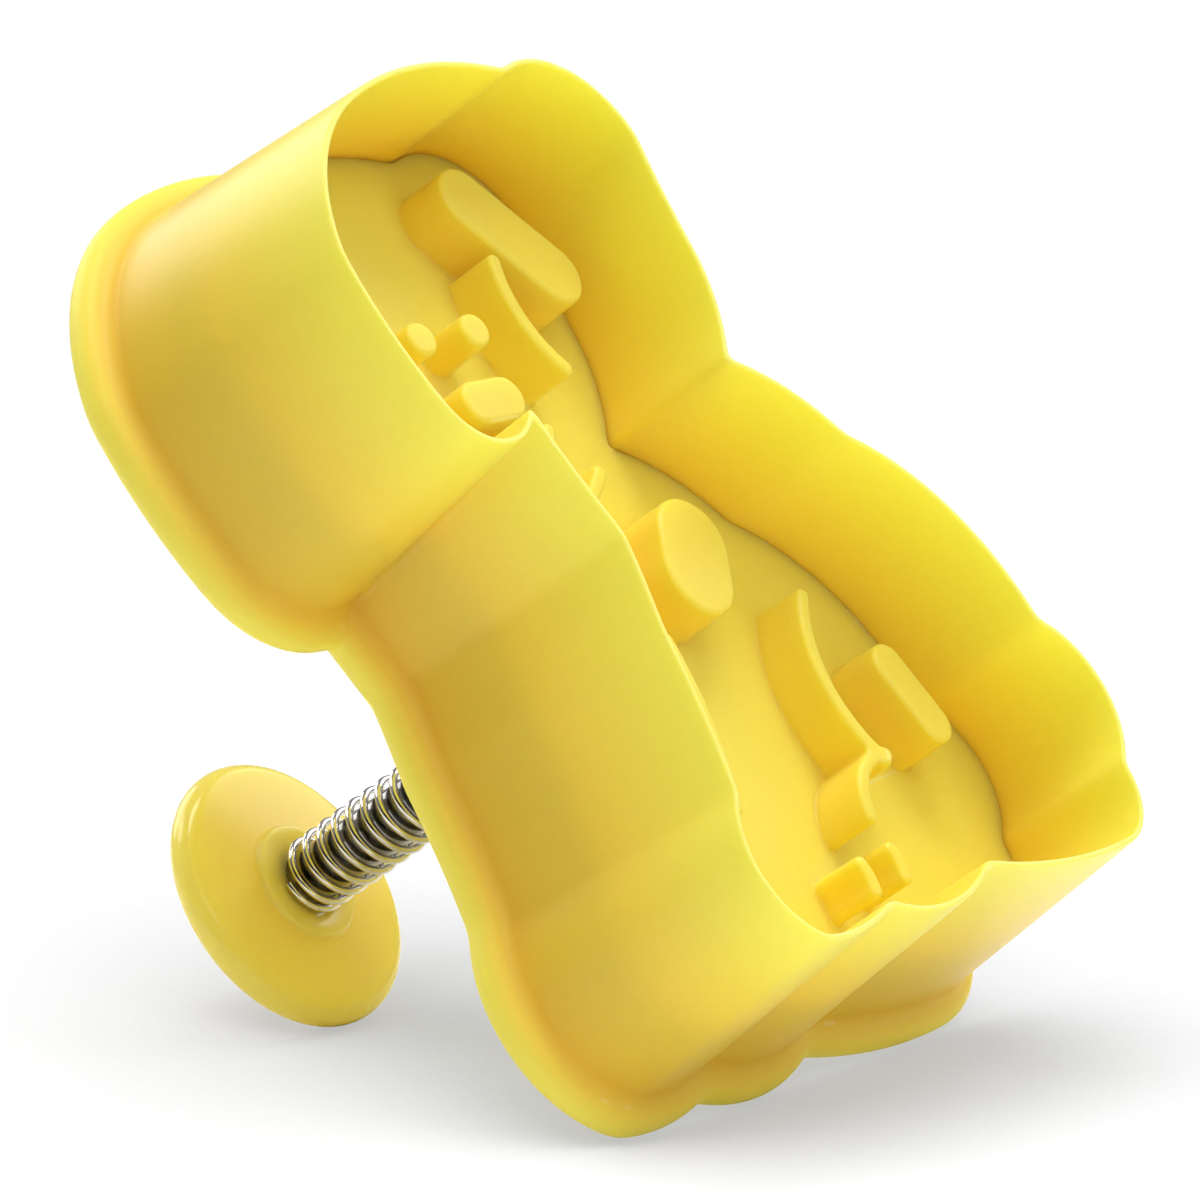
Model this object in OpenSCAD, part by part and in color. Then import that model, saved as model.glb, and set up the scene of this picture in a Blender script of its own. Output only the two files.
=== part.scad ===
// Spring plunger cutter with an embossing stamp, in the shape of a sitting puppy.
// It stands on its cutting edge with the push knob up. The head points to +Y and the nose to +X.

/* [Cutter] */
// Height of the puppy at the cutting edge, ear to paw
puppy_h = 75; // [60:1:95]
// Height of the cutter from its cutting edge to its back face
body_h = 25.4; // [22:0.2:34]
// Thickness of the wall at the cutting edge
edge_t = 0.5; // [0.3:0.1:1]
// Thickness of the wall where it meets the flange
wall_t = 2.3; // [1.6:0.1:2.8]
// How far the outside of the wall leans out between edge and flange
wall_lean = 2; // [0.6:0.1:2.6]
// Thickness of the flange, which has a full round edge
flange_t = 3; // [2.4:0.1:3.6]
// How far the flange stands out from the wall
flange_w = 2.2; // [1.9:0.1:2.8]
// Radius of the hollow between the wall and the flange
flange_hollow = 1.5; // [0.6:0.1:2.4]
// Thickness of the back plate
back_t = 2.4; // [2:0.1:3.4]

/* [Stamp] */
// Depth of the stamp's face behind the cutting edge at rest
stamp_depth = 13.4; // [12.4:0.2:15]
// Thickness of the stamp's plate
plate_t = 2.2; // [1.6:0.1:2.8]
// Height of the raised lines on the stamp
relief_h = 4.8; // [3:0.1:6]
// Width of a raised line
line_w = 1.4; // [1:0.1:1.8]
// Gap between the stamp's plate and the wall around it
plate_gap = 0.4; // [0.3:0.05:0.8]
// Diameter of the bosses on the stamp and under the back plate
boss_d = 10; // [8.4:0.2:12]
// Gap between the two bosses at rest, where they stop the plunger
stop_gap = 0.3; // [0.2:0.05:0.6]

/* [Plunger] */
// Diameter of the steel rod
rod_d = 4.6; // [3.6:0.1:4.8]
// Running gap between the rod and its guide, on each side
rod_gap = 0.08; // [0.04:0.01:0.1]
// Length of the rod's guide below the back plate
guide_l = 2.5; // [1.5:0.1:3.5]
// Thickness of plastic over the rod's ends, in the stamp and in the knob
rod_skin = 1.2; // [0.8:0.1:1.6]
// Place of the rod across the cutter, towards the nose
rod_x = 3.5; // [-2:0.5:8]
// Place of the rod along the cutter, towards the head
rod_y = -7.5; // [-12:0.5:-3]
// Height of the knob's spring seat above the back face at rest
reach = 26.6; // [22:0.1:32]
// Diameter of the push knob
knob_d = 23.2; // [19:0.2:30]
// Thickness of the knob at its round edge
knob_t = 3.2; // [2.6:0.1:5]
// How far the knob's underside swells out in its middle
knob_swell = 0.7; // [0.3:0.1:1.5]
// Diameter of the knob's collar, which the spring presses on
collar_d = 10; // [9:0.2:12]
// How far the collar stands out from the swell
collar_h = 0.4; // [0.3:0.1:2]

/* [Spring] */
// Outside diameter of the spring
spring_d = 6.5; // [6.2:0.1:7.2]
// Diameter of the spring's wire
wire_d = 0.65; // [0.55:0.05:0.8]
// Turns of the spring from end to end
turns = 16; // [12:1:18]
// Gap between the closer turns at each end of the spring
end_gap = 0.45; // [0.42:0.01:0.6]
// Depth of the spring's seat in the back face
seat_depth = 1; // [0.6:0.1:1.2]
// Gap around the spring in its seat
seat_gap = 0.3; // [0.2:0.05:0.6]
// Gap between each end of the spring and what it presses on
end_clear = 0.05; // [0.02:0.01:0.2]

/* [Hidden] */
$fn = 64;

// Corners of the puppy, drawn 75 mm high, each with the rise of the arc that runs on to the next
// corner. A positive rise swells outwards. The head's corners go round from under the chin over the
// crown, and the body's go on from the nape to the throat.
puppy_head = [
    [20.4, 7.4, 2.6],       // chin
    [29.8, 9.3, 0.6],       // cheek
    [32.3, 22.8, 2.3],      // brow
    [21, 35.7, 1.5],        // crown
    [1.4, 36.3, 3.5],       // top of the ear
    [-10.8, 29, -0.2],      // back of the ear
    [-10.2, 18, 0.6]        // tip of the ear
];
puppy_body = [
    [-7, 9.3, 0.9],         // nape
    [-16.6, 1.3, 2.8],      // back
    [-28.6, -17.2, 3.4],    // tail
    [-29.6, -30.6, 1.6],    // heel
    [-25, -36.8, 0.9],      // hind foot
    [-5, -35.2, 1.8],       // inner paw
    [9.3, -35.9, 0.6],      // sole of the front paw
    [18.8, -37, 3.2],       // toes
    [20.6, -24.4, -0.3],    // foreleg
    [18.9, -10.8, -0.1],    // breast
    [17.6, -3, 0.2]         // throat
];
// Raised lines of the stamp as drawn: from, to, and the rise of the arc between them
relief_lines = [
    [[15.8, 9.6], [10.8, 9.3], -1.3],        // mouth, near side
    [[11.6, 9.3], [6.6, 9.6], -1.3],         // mouth, far side
    [[2.2, 24.2], [0.4, 14.4], -1.3],        // edge of the ear
    [[16, 3], [3.2, 5.4], -1.8],             // collar
    [[-13.6, -8], [-12.8, -22.6], -2.6],     // haunch
    [[-13.2, -22.2], [-7.2, -26.6], -1.6],   // hind foot
    [[6, -9], [8.4, -23], 0.8],              // foreleg
    [[-7.4, -29.6], [-7.4, -32], 0.2],       // toes, from the tail forwards
    [[-2.8, -30], [-2.8, -32.4], 0.2],
    [[12.4, -30.8], [12.4, -33.2], 0.2],
    [[16.6, -30.2], [16.6, -32.6], 0.2]
];
// Raised pads of the stamp as drawn: from, to, and the width across
relief_pads = [
    [[15.9, 18.8], [15.7, 18.8], 3],         // eyes
    [[9.1, 18.8], [8.9, 18.8], 3],
    [[13, 12.9], [9.4, 12.9], 3.8],          // nose
    [[1.6, 29.8], [-4.6, 22.4], 5.6],        // ear
    [[-3.6, -1.6], [-2.2, -4.2], 7.6],       // spot on the side
    [[-19.8, -15.2], [-21.6, -20.8], 3.8]    // spot on the haunch
];
puppy = concat(puppy_head, puppy_body);
corners = len(puppy);
drawn_h = 75;
drawn = puppy_h / drawn_h;
facet = 2.2;
round_steps = 6;
end_steps = 10;

// Heights above the cutting edge
inside_z = body_h - back_t;
stamp_back = stamp_depth + plate_t;
guide_z = inside_z - guide_l;
seat_z = body_h - seat_depth;
collar_z = body_h + reach;
knob_under = collar_z + collar_h;
knob_top = knob_under + knob_swell + knob_t;
overlap = 0.5;

// An arc from a to b with a rise on its right: its signed radius, its centre and points along it
function left_of(v) = [-v[1], v[0]] / norm(v);
function arc_radius(a, b, rise) = (pow(norm(b - a) / 2, 2) + rise * rise) / (2 * rise);
function arc_centre(a, b, rise) = (a + b) / 2 + left_of(b - a) * (arc_radius(a, b, rise) - rise);
function turn_to(a, b, way) =
    let (turn = atan2(b[1], b[0]) - atan2(a[1], a[0]))
    way > 0 ? (turn + 720) % 360 : -((720 - turn) % 360);
function swing(centre, radius, a, b, steps) =
    let (start = atan2(a[1] - centre[1], a[0] - centre[0]))
    let (turn = turn_to(a - centre, b - centre, radius))
    [for (k = [0 : steps])
        centre + abs(radius) * [cos(start + turn * k / steps), sin(start + turn * k / steps)]];

// The puppy's outline grown by some distance: each arc keeps its centre and meets its neighbours anew
function corner(i) = drawn * [puppy[i % corners][0], puppy[i % corners][1]];
function rise(i) = drawn * puppy[i % corners][2];
function radius(i) = arc_radius(corner(i), corner(i + 1), rise(i));
function centre(i) = arc_centre(corner(i), corner(i + 1), rise(i));
function normal_sum(i, before) =
    (corner(i) - centre(before)) / radius(before) + (corner(i) - centre(i)) / radius(i);
function mitre(i, grow) =
    let (sum = normal_sum(i, i + corners - 1))
    corner(i) + 2 * grow * sum / (sum * sum);
function nearer(p, q, target) = norm(p - target) < norm(q - target) ? p : q;
function meeting(i, grow) =
    let (c1 = centre(i + corners - 1), c2 = centre(i))
    let (r1 = radius(i + corners - 1) + grow, r2 = radius(i) + grow)
    let (apart = norm(c2 - c1), along = (apart * apart + r1 * r1 - r2 * r2) / (2 * apart))
    let (half = r1 * r1 - along * along, foot = c1 + along * (c2 - c1) / apart)
    half <= 0 ? mitre(i, grow) :
        let (side = sqrt(half) * left_of(c2 - c1))
        nearer(foot + side, foot - side, mitre(i, grow));
function arc_steps(i) = max(3, round(norm(corner(i + 1) - corner(i)) * (1 + abs(rise(i)) / 8) / facet));
function grown_arc(i, grow) =
    let (all = swing(centre(i), radius(i) + grow, meeting(i, grow), meeting(i + 1, grow), arc_steps(i)))
    [for (k = [0 : arc_steps(i) - 1]) all[k]];
function as_drawn(grow) = [for (i = [0 : corners - 1]) each grown_arc(i, grow)];

// The outline is moved so that the flange's box is centred on the origin
flange_reach = wall_lean + flange_w;
flange_x = [for (p = as_drawn(flange_reach)) p[0]];
flange_y = [for (p = as_drawn(flange_reach)) p[1]];
middle = -[max(flange_x) + min(flange_x), max(flange_y) + min(flange_y)] / 2;
function outline(grow) = [for (p = as_drawn(grow)) p + middle];

// Number of the outline's points from the chin to the nape, and two places from which the whole of the
// head or of the body is in sight: half way from chin to brow, and half way from tail to throat
function half_way(a, b) = drawn * [a[0] + b[0], a[1] + b[1]] / 2 + middle;
function points_before(i) = i == 0 ? 0 : arc_steps(i - 1) + points_before(i - 1);
nape_point = points_before(len(puppy_head));
head_middle = half_way(puppy_head[0], puppy_head[2]);
body_middle = half_way(puppy_body[2], puppy_body[10]);
axis = [rod_x, rod_y];

// Offset of the inside of the wall from the outline, at a height, and of the stamp's plate, which clears
// the wall wherever it slides
function inside(z) = -edge_t + (wall_lean - wall_t + edge_t) * z / inside_z;
plate_reach = min(inside(0), inside(stamp_back)) - plate_gap;

// Section of the cutter from the back face round the flange, through the hollow below it and down the
// wall to the inside of the back, each point an offset from the outline and a height. The flange's round
// and the hollow turn by the same angle and meet in one smooth curve.
round_r = flange_t / 2;
round_z = body_h - round_r;
bends = round_r + flange_hollow;
turn = acos(max(0, 1 - flange_w / bends));
hollow_z = round_z - bends * sin(turn);
section = concat(
    [for (k = [0 : round_steps])
        let (a = 90 - (90 + turn) * k / round_steps)
        [flange_reach - round_r + round_r * cos(a), round_z + round_r * sin(a)]],
    [for (k = [1 : round_steps])
        let (a = 180 - turn + turn * k / round_steps)
        [wall_lean + flange_hollow + flange_hollow * cos(a), hollow_z + flange_hollow * sin(a)]],
    [[0, 0], [-edge_t, 0], [inside(inside_z), inside_z]]
);

// One closed skin: the section swept round the outline, with the back closed outside and inside by
// a fan over the head and a fan over the body
module moulded_shell() {
    rings = [for (s = section) outline(s[0])];
    count = len(rings[0]);
    last = len(section) - 1;
    points = concat(
        [for (k = [0 : last]) for (p = rings[k]) [p[0], p[1], section[k][1]]],
        [for (z = [body_h, inside_z]) for (p = [head_middle, body_middle]) [p[0], p[1], z]]
    );
    hubs = (last + 1) * count;
    sides = [for (k = [0 : last - 1]) for (i = [0 : count - 1])
        let (j = (i + 1) % count, a = k * count, b = (k + 1) * count)
        each [[a + i, a + j, b + j], [a + i, b + j, b + i]]];
    ends = [for (end = [0, 1])
        let (ring = end * last * count, head = hubs + 2 * end, body = head + 1)
        each concat(
            [for (i = [0 : nape_point - 1]) [head, ring + i, ring + i + 1]],
            [[head, ring + nape_point, ring], [body, ring, ring + nape_point]],
            [for (i = [nape_point : count - 1]) [body, ring + i, ring + (i + 1) % count]]
        )];
    half = len(ends) / 2;
    back = [for (i = [0 : half - 1]) [ends[i][0], ends[i][2], ends[i][1]]];
    inner = [for (i = [half : 2 * half - 1]) ends[i]];
    polyhedron(points, concat(sides, back, inner));
}

// Walls, flange and back plate, with a guide for the rod and a seat for the spring
module cutter_shell() {
    color([0.97, 0.85, 0.16])
    difference() {
        union() {
            moulded_shell();
            translate([axis[0], axis[1], guide_z])
                cylinder(d = boss_d, h = guide_l + overlap);
        }
        translate([axis[0], axis[1], guide_z - overlap])
            cylinder(r = rod_d / 2 + rod_gap, h = guide_l + back_t + 2 * overlap);
        translate([axis[0], axis[1], seat_z])
            cylinder(r = spring_d / 2 + seat_gap, h = seat_depth + overlap);
    }
}

// Where a drawn place lies on the part
function place(p) = drawn * p + middle;

// Points half way round a place, from one beside it on the right to the one across from it
function half_round(p, from) =
    let (v = from - p)
    [for (k = [0 : end_steps])
        let (a = 180 * k / end_steps)
        p + [v[0] * cos(a) - v[1] * sin(a), v[0] * sin(a) + v[1] * cos(a)]];

// A raised line of even width along an arc, with round ends
module line_arc(a, b, rise) {
    steps = max(3, round(norm(b - a) / 1.2));
    mid = arc_centre(a, b, rise);
    bend = arc_radius(a, b, rise);
    right = swing(mid, bend + line_w / 2, a, b, steps);
    left = swing(mid, bend - line_w / 2, a, b, steps);
    polygon(concat(
        [for (k = [1 : steps - 1]) right[k]], half_round(b, right[steps]),
        [for (k = [steps - 1 : -1 : 1]) left[k]], half_round(a, left[0])
    ));
}

// A raised pad with straight sides and round ends
module pad(a, b, width) {
    side = left_of(b - a) * width / 2;
    polygon(concat(half_round(b, b - side), half_round(a, a + side)));
}

// The puppy's face, coat and limbs as raised lines and pads
module relief() {
    for (l = relief_lines)
        line_arc(place(l[0]), place(l[1]), drawn * l[2]);
    for (p = relief_pads)
        pad(place(p[0]), place(p[1]), drawn * p[2]);
}

// The stamp: a plate that follows the wall, its relief and a boss that holds the rod
module stamp_plate() {
    color([0.97, 0.85, 0.16])
    difference() {
        union() {
            translate([0, 0, stamp_depth])
                linear_extrude(plate_t)
                    polygon(outline(plate_reach));
            translate([0, 0, stamp_depth - relief_h])
                linear_extrude(relief_h + overlap)
                    relief();
            translate([axis[0], axis[1], stamp_back - overlap])
                cylinder(d = boss_d, h = guide_z - stop_gap - stamp_back + overlap);
        }
        translate([axis[0], axis[1], stamp_depth + rod_skin])
            cylinder(d = rod_d, h = guide_z - stamp_depth);
    }
}

// Polished rod from the stamp's boss through the guide and the spring into the knob
module plunger_rod() {
    low = stamp_depth + rod_skin;
    high = knob_top - rod_skin;
    bevel = 0.3;
    color([0.75, 0.76, 0.78])
    translate([axis[0], axis[1], 0])
    rotate_extrude()
        polygon([[0, low], [rod_d / 2 - bevel, low], [rod_d / 2, low + bevel],
            [rod_d / 2, high - bevel], [rod_d / 2 - bevel, high], [0, high]]);
}

// Middle line of the spring's wire: a helix whose first and last turns lie closer
spring_rings = 12;
end_pitch = wire_d + end_gap;
spring_l = collar_z - seat_z - 2 * end_clear;
pitch = (spring_l - wire_d - 2 * end_pitch) / (turns - 2);
coil_r = (spring_d - wire_d) / 2;
function climb(turn) =
    end_pitch * (min(turn, 1) + max(0, turn - turns + 1)) + pitch * max(0, min(turn, turns - 1) - 1);
spring_line = [for (k = [0 : turns * spring_rings])
    let (a = 360 * k / spring_rings)
    [coil_r * cos(a), coil_r * sin(a), seat_z + end_clear + wire_d / 2 + climb(k / spring_rings)]];
spring_last = len(spring_line) - 1;
spring_gap = min([for (i = [0 : spring_last - spring_rings])
    for (j = [i + spring_rings / 2 : min(spring_last, i + 2 * spring_rings)])
        norm(spring_line[i] - spring_line[j])]) - wire_d;
echo(spring_least_gap = spring_gap);

// Compression spring of round wire, one unbroken tube
module return_spring() {
    sides = 6;
    points = [for (k = [0 : spring_last]) for (s = [0 : sides - 1])
        let (a = 360 * k / spring_rings, out = wire_d / 2 * cos(360 * s / sides))
        spring_line[k] + [out * cos(a), out * sin(a), wire_d / 2 * sin(360 * s / sides)]];
    skin = [for (k = [0 : spring_last - 1]) for (s = [0 : sides - 1])
        let (t = (s + 1) % sides, low = k * sides, high = low + sides)
        each [[low + s, low + t, high + t], [low + s, high + t, high + s]]];
    far = spring_last * sides;
    caps = [for (s = [1 : sides - 2]) each [[0, s + 1, s], [far, far + s, far + s + 1]]];
    color([0.82, 0.82, 0.84])
    translate([axis[0], axis[1], 0])
        polyhedron(points, concat(skin, caps));
}

// Round knob with a full round edge, an underside that swells in one flat arc and a collar for the spring.
// The arc runs on smoothly from the round of the edge.
module push_knob() {
    edge_r = knob_t / 2;
    edge_x = knob_d / 2 - edge_r;
    edge_z = knob_top - edge_r;
    arc_h = (edge_x * edge_x - knob_swell * knob_swell) / (2 * knob_swell);
    arc_r = arc_h + knob_swell + edge_r;
    lean = atan(edge_x / arc_h);
    collar_r = collar_d / 2;
    collar_round = min(0.4, collar_h);
    foot_w = 0.5;
    foot_lean = asin((collar_r + foot_w) / arc_r);
    profile = concat(
        [[0, knob_top]],
        [for (k = [0 : 2 * round_steps])
            let (a = (180 - lean) * k / (2 * round_steps))
            [edge_x + edge_r * sin(a), edge_z + edge_r * cos(a)]],
        [for (k = [1 : round_steps])
            let (a = lean + (foot_lean - lean) * k / round_steps)
            [arc_r * sin(a), edge_z + arc_h - arc_r * cos(a)]],
        [for (k = [0 : round_steps])
            [collar_r - collar_round + collar_round * cos(90 * k / round_steps),
             collar_z + collar_round - collar_round * sin(90 * k / round_steps)]],
        [[rod_d / 2, collar_z], [rod_d / 2, knob_top - rod_skin], [0, knob_top - rod_skin]]
    );
    color([0.95, 0.78, 0.2])
    translate([axis[0], axis[1], 0])
    rotate_extrude()
        polygon(profile);
}

cutter_shell();
stamp_plate();
plunger_rod();
return_spring();
push_knob();
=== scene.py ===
import math

import bmesh
import bpy
import numpy as np
from mathutils import Matrix, Vector
from mathutils.geometry import delaunay_2d_cdt


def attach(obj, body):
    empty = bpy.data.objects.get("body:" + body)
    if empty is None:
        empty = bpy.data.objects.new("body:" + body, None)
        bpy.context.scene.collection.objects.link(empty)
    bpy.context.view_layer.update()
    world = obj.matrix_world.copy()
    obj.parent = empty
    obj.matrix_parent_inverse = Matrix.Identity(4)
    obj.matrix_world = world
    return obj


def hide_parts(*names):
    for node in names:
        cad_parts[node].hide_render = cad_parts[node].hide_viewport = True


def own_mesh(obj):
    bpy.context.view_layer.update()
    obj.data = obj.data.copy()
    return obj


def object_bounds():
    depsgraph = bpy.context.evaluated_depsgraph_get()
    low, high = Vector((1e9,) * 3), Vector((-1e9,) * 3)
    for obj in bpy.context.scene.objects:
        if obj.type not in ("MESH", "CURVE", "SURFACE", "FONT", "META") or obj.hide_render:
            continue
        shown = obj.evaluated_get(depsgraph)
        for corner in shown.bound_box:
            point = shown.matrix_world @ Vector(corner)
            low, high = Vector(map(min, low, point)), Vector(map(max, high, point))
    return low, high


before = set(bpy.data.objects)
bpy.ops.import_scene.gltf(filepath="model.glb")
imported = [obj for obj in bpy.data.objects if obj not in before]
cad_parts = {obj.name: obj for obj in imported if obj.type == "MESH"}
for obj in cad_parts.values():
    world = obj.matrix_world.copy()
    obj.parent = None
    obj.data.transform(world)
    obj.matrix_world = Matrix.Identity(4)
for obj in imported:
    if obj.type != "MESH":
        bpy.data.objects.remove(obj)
cad_low, cad_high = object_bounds()
CENTRE = (cad_low + cad_high) / 2
MM = 0.001

# Sizes of the cutter in millimetres, as in its source
EDGE_T = 0.5
WALL_T = 2.3
WALL_LEAN = 2.0
BODY_H = 25.4
FLANGE_T = 3.0
FLANGE_W = 2.2
FLANGE_HOLLOW = 1.5
BACK_T = 2.4
INSIDE_Z = BODY_H - BACK_T
GUIDE_Z = 20.5
SEAT_Z = 24.4
SEAT_R = 3.55
BOSS_R = 5.0
# The lip stops this much short of the solid's, whose facets cut its corners
LIP_TRIM = 0.04
FLANGE_REACH = WALL_LEAN + FLANGE_W - LIP_TRIM
# Rounds of the cutter's mesh, and the borders that its flat faces keep beside them
INSIDE_ROUND = 0.7
INSIDE_BORDER = 0.4
BACK_BORDER = 0.5
SEAT_ROUND = 0.25
SEAT_CUT = 0.05
SEAT_BORDER = 1.2
BORE_ROUND = 0.15
BOSS_ROUND = 0.3
GUIDE_FILLET = 0.5
GUIDE_BORDER = 0.8

# Sizes of the stamp
STAMP_FACE = 13.4
STAMP_BACK = 15.6
STAMP_BOSS_TOP = 20.2
RELIEF_H = 4.8
RELIEF_FOOT = 0.25
LINE_W = 1.4
# The drawn plate clears the wall by this much at full travel; the solid keeps a wider gap
PLATE_GAP = 0.03
# Rounds and borders of the stamp's mesh
PLATE_ROUND = 0.05
PLATE_BORDER = 0.4
RELIEF_ROUND = 0.42
RELIEF_DRAFT = 0.05
RELIEF_BORDER = 0.05
BOSS_FILLET = 0.6
BOSS_BORDER = 1.0
ROD_HOLE_CUT = 0.2

# Sizes of the plunger and its spring
ROD_R = 2.3
ROD_GAP = 0.08
ROD_LOW = 14.6
ROD_HIGH = 55.1
ROD_BEVEL = 0.3
# A point of the rod's rounded lower end: in from its side and up from its end
ROD_NOSE = (0.08, 0.12)
ROD_BORDER = 1.0
AXIS = (3.5, -7.5)
KNOB_R = 11.6
KNOB_T = 3.2
KNOB_SWELL = 0.7
KNOB_DISH = 0.02
KNOB_TOP = 56.3
COLLAR_Z = 52.0
COLLAR_R = 5.0
COLLAR_ROUND = 0.35
COLLAR_CUT = 0.05
WIRE_R = 0.325
COIL_R = 2.925
TURNS = 16
END_PITCH = 1.1
SPRING_LOW = 24.45
SPRING_HIGH = 51.95
TRAVEL = 12.0
# Knob and rod close in a cap of this radius on their axis
CAP_R = 0.02

# Fineness of the meshes: distances in millimetres and counts of steps
RING_STEP = 0.42
# An outline's arc gets more steps by its rise's share of this length
RISE_LENGTH = 8
CORNER_PASSES = 5
LINE_STEP = 0.4
LINE_END_STEPS = 12
PAD_END_STEPS = 24
RELIEF_STEP = 0.16
RELIEF_SIDE_STEPS = 4
JOINED_STEP = 0.12
JOINED_PASSES = 6
WALL_STEPS = 12
HUB_STEPS = 96
KNOB_STEPS = 160
ROD_STEPS = 64
ROD_ROWS = 24
WIRE_STEPS = 48
WIRE_SIDES = 14
LEAST_STEPS = 4
# Keeps the sharp corners of a raised form from reaching too far out
MITRE_LIMIT = 0.6
# Filled faces keep what lies inside their rings, and points closer than this are one
FILL_INSIDE = 1
FILL_JOIN = 1e-7
# Edges that bend by more degrees than this are shaded as sharp
SHARP_ANGLE = 50.0

# Corners of the puppy's outline, each with the rise of the arc that runs on to the next corner
PUPPY = [
    (20.4, 7.4, 2.6),  # chin
    (29.8, 9.3, 0.6),  # cheek
    (32.3, 22.8, 2.3),  # brow
    (21.0, 35.7, 1.5),  # crown
    (1.4, 36.3, 3.5),  # top of the ear
    (-10.8, 29.0, -0.2),  # back of the ear
    (-10.2, 18.0, 0.6),  # tip of the ear
    (-7.0, 9.3, 0.9),  # nape
    (-16.6, 1.3, 2.8),  # back
    (-28.6, -17.2, 3.4),  # tail
    (-29.6, -30.6, 1.6),  # heel
    (-25.0, -36.8, 0.9),  # hind foot
    (-5.0, -35.2, 1.8),  # inner paw
    (9.3, -35.9, 0.6),  # sole of the front paw
    (18.8, -37.0, 3.2),  # toes
    (20.6, -24.4, -0.3),  # foreleg
    (18.9, -10.8, -0.1),  # breast
    (17.6, -3.0, 0.2),  # throat
]
# Shift that brings the middle of the flange's box to the origin
MIDDLE = np.array([0.105568, -0.080913])

# Raised lines of the stamp: from, to and the rise of the arc between them
LINES = {
    "mouth, near side": ((15.8, 9.6), (10.8, 9.3), -1.3),
    "mouth, far side": ((11.6, 9.3), (6.6, 9.6), -1.3),
    "edge of the ear": ((2.2, 24.2), (0.4, 14.4), -1.3),
    "collar": ((16.0, 3.0), (3.2, 5.4), -1.8),
    "haunch": ((-13.6, -8.0), (-12.8, -22.6), -2.6),
    "hind foot": ((-13.2, -22.2), (-7.2, -26.6), -1.6),
    "foreleg": ((6.0, -9.0), (8.4, -23.0), 0.8),
    "hind toe": ((-7.4, -29.6), (-7.4, -32.0), 0.2),
    "second hind toe": ((-2.8, -30.0), (-2.8, -32.4), 0.2),
    "front toe": ((12.4, -30.8), (12.4, -33.2), 0.2),
    "second front toe": ((16.6, -30.2), (16.6, -32.6), 0.2),
}
# Raised lines that run into each other and are drawn in one outline
JOINED_LINES = [("mouth, near side", "mouth, far side"), ("haunch", "hind foot")]
# Raised pads of the stamp: from, to and the width across
PADS = [
    ((15.9, 18.8), (15.7, 18.8), 3.0),  # eyes
    ((9.1, 18.8), (8.9, 18.8), 3.0),
    ((13.0, 12.9), (9.4, 12.9), 3.8),  # nose
    ((1.6, 29.8), (-4.6, 22.4), 5.6),  # ear
    ((-3.6, -1.6), (-2.2, -4.2), 7.6),  # spot on the side
    ((-19.8, -15.2), (-21.6, -20.8), 3.8),  # spot on the haunch
]

# Colours of the plastic at the lower and at the higher of its heights, and of its worn and highlit edges
# The shell goes deeper orange towards the flange, partly for its thicker plastic and partly as painted shade
# where the wall lies in shade; its thin colour is the lit one
SHELL_THIN_AND_LIT = (0.90, 0.80, 0.125)
SHELL_THICK_AND_SHADED = (0.84, 0.53, 0.04)
# The stamp's plate, deep in shade, is painted lighter and its raised tops darker: painted light against the
# shade
STAMP_TOPS_PAINTED_DARKER = (0.80, 0.65, 0.085)
STAMP_PLATE_PAINTED_LIGHTER = (1.0, 0.75, 0.10)
# The knob is a little lighter on its collar side and deeper towards its top
KNOB_COLLAR_SIDE = (0.99, 0.765, 0.16)
KNOB_TOP_SIDE = (0.98, 0.725, 0.14)
PALE_WEAR_AND_HIGHLIGHT = (0.97, 0.92, 0.45)
# Heights in millimetres between which each piece goes from its lower colour to its higher one
SHELL_HEIGHTS = (0.0, 22.0)
STAMP_HEIGHTS = (8.6, 13.4)
KNOB_HEIGHTS = (51.0, 57.0)
# Shares of the higher colour at those heights, and how far the mottling shifts them
HIGHER_COLOUR_SHARES = (0.08, 0.92)
FLOW = 0.08
FLOW_SCALE = 30.0
# Share of the pale colour on edges that stand out, for wear and for a painted highlight
EDGE_SHARE = 0.3
# Pointiness at which an edge begins to look worn and highlit, and at which it is fully so
EDGE_POINTINESS = (0.56, 0.66)
# Heights in millimetres of the cutting edge's land, painted paler as a highlight, and its share of the pale
# colour
LAND_HEIGHTS = (0.04, 0.1)
LAND_SHARE = 0.12
# Heights over which the lip, out of the painted shade, takes the thin and lit colour again, and those over
# which it gets rougher
LIP_HEIGHTS = (21.6, 23.6)
LIP_SHARE = 0.85
DULL_HEIGHTS = (19.0, 22.0)
DULL = 0.15
# Roughness of the moulded faces and of the knob, how it varies, and the fine skin
MOULDED = (0.285, 0.40)
TOUCHED = (0.12, 0.24)
GLOSS_SCALE = 60.0
NOISE_REACH = (0.1, 0.9)
SKIN_SCALE = 900.0
SKIN_STRENGTH = 0.02
SKIN_HEIGHT = 0.01 * MM
# Light below the plastic's surface: its share, each colour's part of the reach, and the reach in millimetres
BELOW_SHARE = 0.8
BELOW_COLOURS = (1.0, 1.0, 0.4)
SHELL_BELOW = 3.0
SOLID_BELOW = 4.0
PLASTIC_IOR = 1.49
MOULDED_SHINE = 0.26
KNOB_SHINE = 0.4

# Metals: dull and bright colour, roughness, and the scale of the drawn lines along each axis
STEEL = ((0.22, 0.21, 0.20), (0.34, 0.33, 0.32), (0.08, 0.20), (900.0, 900.0, 9000.0))
WIRE = ((0.66, 0.64, 0.61), (0.80, 0.78, 0.75), (0.05, 0.14), (2500.0, 2500.0, 2500.0))
SPOT_SCALE = 420.0
SPOT_REACH = (0.35, 0.65)
LINE_REACH = (0.3, 0.7)
LINE_STRENGTH = 0.08
LINE_HEIGHT = 0.02 * MM

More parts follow.
